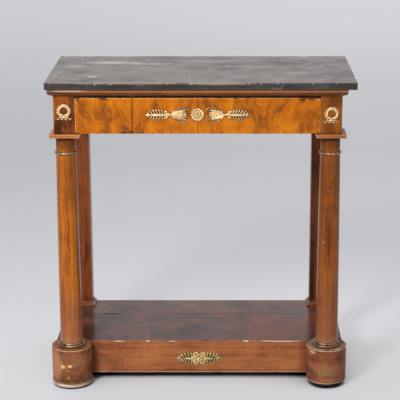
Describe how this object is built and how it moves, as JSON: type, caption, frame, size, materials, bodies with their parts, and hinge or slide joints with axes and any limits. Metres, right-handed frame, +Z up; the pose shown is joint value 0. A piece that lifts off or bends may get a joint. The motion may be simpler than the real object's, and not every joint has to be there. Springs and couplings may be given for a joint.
{
  "type": "pier table",
  "caption": "Pier table with a marble slab, a one-drawer frieze on turned front columns and square rear pilasters, a low box platform and gilt mounts.",
  "frame": {"origin": "on the floor, under the middle of the table's overall box", "axes": "+X to the right as seen from the front, +Y back to the wall, +Z up; the drawer opens towards -Y"},
  "size_m": [0.8281, 0.4191, 0.858],
  "materials": {
    "marble": "worn polish",
    "walnut": "old french polish, worn at the edges",
    "figured_veneer": "glossy old polish",
    "carcase_wood": "bare and aged",
    "foot_wood": "worn bare",
    "gilt_brass": "old gilding",
    "bronzed_brass": "dark patina"
  },
  "bodies": {
    "table": {"cornice_left": "walnut", "cornice_right": "walnut", "front_block_left": "walnut", "front_block_right": "walnut", "side_rail_left": "walnut", "side_rail_right": "walnut", "drawer_runner_left": "carcase_wood", "drawer_runner_right": "carcase_wood", "drawer_kicker_left": "carcase_wood", "drawer_kicker_right": "carcase_wood", "abacus_left": "walnut", "abacus_right": "walnut", "column_left": "walnut", "column_right": "walnut", "neck_ring_left": "bronzed_brass", "neck_ring_right": "bronzed_brass", "base_ring_left": "bronzed_brass", "base_ring_right": "bronzed_brass", "drum_left": "walnut", "drum_right": "walnut", "foot_disc_left": "foot_wood", "foot_disc_right": "foot_wood", "pilaster_left": "walnut", "pilaster_right": "walnut", "pilaster_base_left": "walnut", "pilaster_base_right": "walnut", "pilaster_cap_left": "walnut", "pilaster_cap_right": "walnut", "platform_side_left": "walnut", "platform_side_right": "walnut", "rear_foot_left": "carcase_wood", "rear_foot_right": "carcase_wood", "marble_top": "marble", "cornice_front": "walnut", "top_rail": "carcase_wood", "lower_rail": "carcase_wood", "back_rail": "carcase_wood", "drawer_guides": "carcase_wood", "drawer_stops": "carcase_wood", "drum_dowels": "carcase_wood", "foot_pads": "foot_wood", "platform_veneer": "walnut", "platform_front_board": "carcase_wood", "platform_back_board": "carcase_wood", "shelf_board_front": "walnut", "shelf_board_rear": "walnut", "platform_blocks": "carcase_wood", "wreath_left": "gilt_brass", "wreath_right": "gilt_brass", "platform_mount": "gilt_brass"},
    "drawer": {"drawer_front": "carcase_wood", "drawer_veneer": "figured_veneer", "drawer_side_left": "carcase_wood", "drawer_side_right": "carcase_wood", "drawer_back": "carcase_wood", "drawer_bottom": "carcase_wood", "drawer_rosette": "gilt_brass", "palmette_left": "gilt_brass", "palmette_right": "gilt_brass"}
  },
  "joints": [
    {"name": "drawer_slide", "type": "slide", "parent": "table", "child": "drawer", "axis": [0, -1, 0], "range_m": [0, 0.27]}
  ]
}
